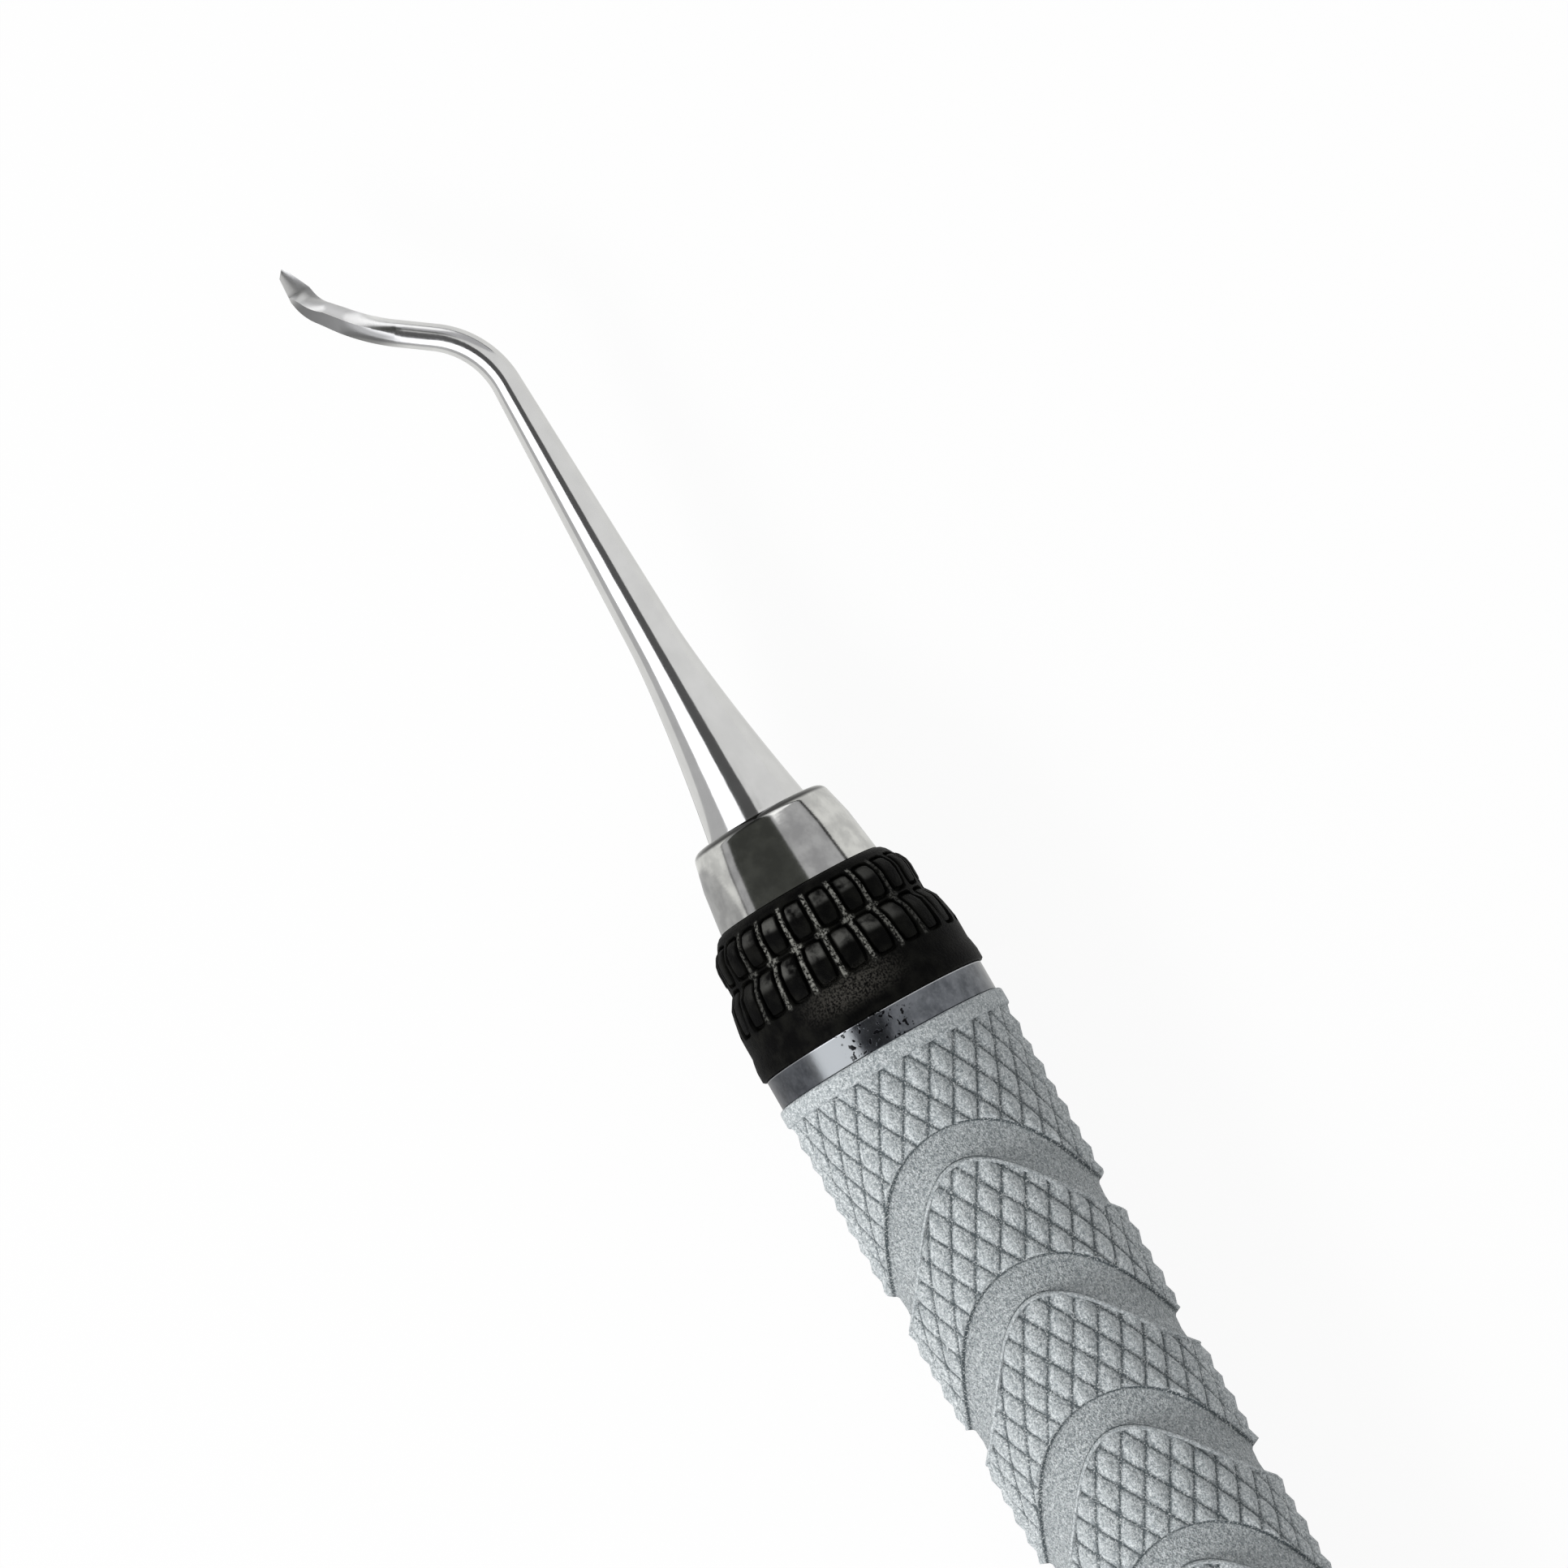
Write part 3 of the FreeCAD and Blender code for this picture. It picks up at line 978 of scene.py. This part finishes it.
def band_steel():
    """The band: dull bluish steel with a painted reflection on its +Y side, brighter at its edge by the
    ring, with pits along its top.
    """
    finish, nodes = material("band_steel")
    position, x, y, z = nodes.place()
    cloud = nodes.noise(position, 1.6, 4)
    grain = nodes.noise(position, 7, 3, 0.6)
    pits = nodes.noise(position, 5.5, 1)
    top = z.within(4.3, 4.5)
    pit = (1 - pits.within(0.34, 0.4)) * top
    turn = nodes.turn_about(y, z)
    side_reflection = turn.within(8, 14) * (1 - turn.within(30, 44))
    edge = x.within(band_front - 0.1, band_front - 0.06)
    base = nodes.mix(cloud.within(0.3, 0.7), colour(0.09, 0.097, 0.11), colour(0.17, 0.18, 0.2))
    base = nodes.mix(grain.within(0.4, 0.75) * 0.3, base, colour(0.26, 0.27, 0.29))
    # Painted reflection: a strip on the +Y side of the top is made brighter in colour.
    base = nodes.mix(side_reflection, base, colour(0.3, 0.315, 0.325))
    base = nodes.mix(edge * 0.7, base, colour(0.7, 0.71, 0.74))
    base = nodes.mix(pit, base, colour(0.01, 0.01, 0.012))
    nodes.surface(nodes.node("BsdfPrincipled", None, {
        "Base Color": base,
        "Metallic": 1.0,
        "Roughness": 0.16 + cloud * 0.08 + pit * 0.4,
        "Normal": nodes.bump(cloud * 0.5 + grain * 0.2 - pit, 0.01),
    }))
    return finish


def black_elastomer():
    """The ring: black rubber with painted highlights on the ridges and pad fronts that face up, and a
    speckled painted sheen on top behind them.
    """
    finish, nodes = material("black_elastomer")
    position, x, y, z = nodes.place()
    grain = nodes.noise(position, 9, 3, 0.65)
    speck = nodes.noise(position, 13, 1)
    cloud = nodes.noise(position, 1.8, 3)
    turn = nodes.turn_about(y, z)
    top = 1 - turn.size().within(18, 62)
    cell = ((turn - pad_turn) * (pad_count / 360)).worked("FRACT")
    off_ridge = (cell - 0.5).size()
    pads_front = 1 - x.within(ring_front - 0.4, ring_front - 0.3)
    padded = x.within(ring_front - 4.0, ring_front - 3.8) * pads_front
    between_rows = x.between(ring_front - 2.12, ring_front - 1.92, 0.03)
    crossing = between_rows * (1 - off_ridge.within(0.12, 0.3))
    ridge_highlight = (1 - off_ridge.within(0.04, 0.1)).worked("MAXIMUM", crossing) * padded
    first_front = x.between(ring_front - 1.0, ring_front - 0.55, 0.12)
    second_front = x.between(ring_front - 2.8, ring_front - 2.25, 0.15)
    pad_front_highlight = off_ridge.within(0.2, 0.28) * (first_front + second_front)
    sheen_top = 1 - turn.size().within(4, 34)
    top_sheen = x.between(band_front + 0.7, ring_front - 3.9, 0.4) * sheen_top
    base = nodes.mix(cloud.within(0.35, 0.75), grey(0.002), colour(0.007, 0.007, 0.006))
    # Painted highlight: the ridges between the pads that face up are made pale in colour.
    base = nodes.mix(ridge_highlight * top * grain.within(0.4, 0.62) * 0.85, base, colour(0.24, 0.24, 0.22))
    # Painted highlight: the front of each pad that faces up is made paler in colour.
    base = nodes.mix(pad_front_highlight * top * cloud.within(0.3, 0.6) * 0.5, base, colour(0.16, 0.16, 0.15))
    # Painted sheen: speckled grey on the top of the ring behind the pads.
    base = nodes.mix(top_sheen * speck.within(0.35, 0.65) * 0.5, base, colour(0.09, 0.085, 0.075))
    nodes.surface(nodes.node("BsdfPrincipled", None, {
        "Base Color": base,
        "Roughness": 0.4 + cloud * 0.1,
        "IOR": 1.5,
        "Specular IOR Level": 0.03,
        "Normal": nodes.bump(grain + cloud * 0.6, 0.03),
    }))
    return finish


def grip_resin():
    """The grip: blue-grey resin, speckled all over, with painted shade in its grooves and painted highlights
    on its crests and just above its grooves, stippled in its channels.
    """
    finish, nodes = material("grip_resin")
    position, x, y, z = nodes.place()
    radius = (y * y + z * z) ** 0.5
    knurl_front = handle_length - collar_length
    behind_collar = 1 - x.within(knurl_front - 0.02, knurl_front + 0.02)
    knurled = x.within(knurl_end, knurl_end + 0.02) * behind_collar
    channel = (1 - radius.within(channel_floor_radius + 0.04, valley_radius - 0.06)) * knurled
    groove_shade = (1 - radius.within(valley_radius - 0.01, valley_radius + 0.07)) * (1 - channel) * knurled
    crest = radius.within(valley_radius + 0.12, crest_radius) * knurled
    grain = nodes.noise(position, 7, 4, 0.75)
    dark_specks = nodes.noise(position, 12, 2, 0.6)
    pale_specks = nodes.noise(position, 14, 2, 0.6)
    cloud = nodes.noise(position, 0.6, 2)
    base = nodes.mix(grain.within(0.3, 0.7), colour(0.23, 0.26, 0.275), colour(0.7, 0.735, 0.75))
    base = nodes.mix(cloud * 0.3, base, colour(0.36, 0.40, 0.42))
    # Painted highlight: the crests of the teeth are made lighter in colour; their lower roughness is real.
    base = nodes.mix(crest * 0.35, base, colour(0.62, 0.655, 0.67))
    # Painted highlight: a pale line just above the grooves, at the feet of the teeth.
    foot = radius.between(valley_radius + 0.07, valley_radius + 0.12, 0.015) * knurled
    base = nodes.mix(foot * grain.within(0.42, 0.6) * 0.5, base, colour(0.7, 0.73, 0.74))
    # Painted shade: the grooves between the teeth are made nearly black in colour.
    base = nodes.mix(groove_shade * 0.95, base, colour(0.03, 0.045, 0.052))
    base = nodes.mix(pale_specks.within(0.52, 0.66) * 0.7, base, colour(0.78, 0.81, 0.82))
    darkening = dark_specks.within(0.52, 0.66) * (0.5 + channel * 0.1)
    base = nodes.mix(darkening, base, colour(0.12, 0.145, 0.155))
    height = grain * 0.8 + (pale_specks - dark_specks) * (0.5 + channel * 0.9)
    nodes.surface(nodes.node("BsdfPrincipled", None, {
        "Base Color": base,
        "Roughness": 0.58 - crest * 0.12 + grain * 0.1,
        "Normal": nodes.bump(height, 0.08),
    }))
    return finish


# Studio

# The camera's view: its lean, and the width, middle and turn of what it frames
view_tilt = math.radians(4.2)
frame_width = 59.1
frame_centre = (128.69, -1.536)
picture_turn = math.radians(-29.84)
lens = 350
sensor = 36

# Edges of the cards in degrees, levels of the light, and the floor seen in the steel
soft_edge = 1.5
hard_edge = 0.5
softbox_light = (1.75, 1.76, 1.8, 1)
side_light = (1.75, 1.75, 1.74, 1)
room_light = (0.8, 0.8, 0.79, 1)
front_room_light = (0.47, 0.47, 0.48, 1)
front_card_light = (0.062, 0.064, 0.058, 1)
floor_side = 6
floor_light = (0.8, 0.8, 0.78, 1)
floor_shade = 0.42
front_floor_start = 126

# The lamp, in metres and watts
lamp_width = 0.3
lamp_height = 0.12
lamp_power = 1.2
lamp_aim = (0.115, 0, 0)
lamp_place = (-0.12, 0.36, 0.36)


def camera():
    """A long lens above the tool, leaning a little to the butt, with the tool across the frame."""
    back = Vector((-math.sin(view_tilt), 0, math.cos(view_tilt)))
    up = Vector((math.cos(picture_turn), math.sin(picture_turn), 0))
    up = (up - up.dot(back) * back).normalized()
    right = up.cross(back)
    distance = frame_width * lens / sensor
    eye = Vector((*frame_centre, 0)) + back * distance
    turn = Matrix((right, up, back)).transposed().to_4x4()
    data = bpy.data.cameras.new("camera")
    data.lens = lens
    data.sensor_width = sensor
    data.clip_end = 10
    shot = bpy.data.objects.new("camera", data)
    shot.matrix_world = Matrix.Translation(eye * MM) @ turn
    bpy.context.scene.collection.objects.link(shot)
    bpy.context.scene.camera = shot


def floor():
    """A plain pale floor that keeps the tool's shadow."""
    rest()
    bpy.ops.mesh.primitive_plane_add(size=6, location=(0, 0, 0))
    ground = started("floor")
    ground.data.transform(Matrix.Translation((0.08, 0, cad_box[0].z)))
    finish, nodes = material("pale_floor")
    position, x, y, z = nodes.place()
    path_camera = nodes.node("LightPath", output="Is Camera Ray")
    path_glossy = nodes.node("LightPath", output="Is Glossy Ray")
    path_transmission = nodes.node("LightPath", output="Is Transmission Ray")
    pale = nodes.node("BsdfDiffuse", None, {"Color": grey(0.85)})
    white = nodes.node("Emission", None, {"Color": grey(1)})
    side = nodes.mix(y.within(-floor_side, floor_side), floor_light, grey(floor_shade))
    ahead = ((x - front_floor_start) / y.size()).within(0.5, 0.56)
    side = nodes.mix(ahead, side, floor_light)
    seen = nodes.node("Emission", None, {"Color": side})
    share = path_camera * 0.93 + path_glossy * 0.85 + path_transmission * 0.85
    seen = nodes.node("MixShader", None, {0: path_camera + path_transmission, 1: seen, 2: white})
    nodes.surface(nodes.node("MixShader", None, {0: share, 1: pale, 2: seen}))
    ground.data.materials.append(finish)


def studio():
    """The light: a pale room, a softbox on the +Y side, a dark card over the camera and cards in front."""
    world = bpy.data.worlds.new("studio")
    bpy.context.scene.world = world
    world.use_nodes = True
    nodes = Finish(world.node_tree)
    direction = nodes.node("TexCoord")
    x, y, z = [nodes.node("SeparateXYZ", None, {0: direction}, axis) for axis in range(3)]
    across = nodes.turn_about(y * -1, z)
    upright = (y * y + z * z) ** 0.5
    ahead = nodes.turn_about(x, upright)
    light = nodes.mix(across.between(-71, -23, soft_edge), room_light, softbox_light)
    light = nodes.mix(1 - across.within(-73, -69), light, grey(0.5))
    light = nodes.mix(across.between(-23, 10, soft_edge), light, grey(0.1))
    front = nodes.mix(across.between(-70, 23, soft_edge), front_room_light, front_card_light)
    front = nodes.mix(across.between(-85.5, -82.5, hard_edge), front, grey(0.2))
    front = nodes.mix(1 - across.within(-86.5, -85.5), front, room_light)
    front = nodes.mix(across.between(85, 91, hard_edge), front, grey(0.02))
    front = nodes.mix(across.between(28, 75, soft_edge) * ahead.within(46, 48), front, grey(1.3))
    light = nodes.mix(ahead.within(25, 26.5), light, front)
    soft = nodes.mix(across.within(35, 80), grey(0.45), grey(0.8))
    soft = nodes.mix(1 - across.within(-75, 5), soft, side_light)
    diffuse_ray = nodes.node("LightPath", output="Is Diffuse Ray")
    light = nodes.mix(diffuse_ray, light, soft)
    camera_ray = nodes.node("LightPath", output="Is Camera Ray")
    light = nodes.mix(camera_ray, light, grey(1))
    background = nodes.node("Background", None, {"Color": light, "Strength": 1.0})
    nodes.node("OutputWorld", None, {"Surface": background})


def key_lamp():
    """A soft lamp inside the softbox that models the knurl."""
    data = bpy.data.lights.new("key", "AREA")
    data.shape = "RECTANGLE"
    data.size = lamp_width
    data.size_y = lamp_height
    data.energy = lamp_power
    lamp = bpy.data.objects.new("key", data)
    lamp.visible_glossy = False
    aim = Vector(lamp_aim)
    place = aim + Vector(lamp_place)
    back = (place - aim).normalized()
    side = Vector((0, 0, 1)).cross(back).normalized()
    turn = Matrix((side, back.cross(side), back)).transposed().to_4x4()
    lamp.matrix_world = Matrix.Translation(place) @ turn
    bpy.context.scene.collection.objects.link(lamp)


bpy.context.scene.view_settings.view_transform = "Standard"

camera()
floor()
studio()
key_lamp()

scaler_tip(tip_steel())
nose_cone(nose_steel())
grip_ring(black_elastomer())
collar_insert(band_steel())
grip_handle(grip_resin())
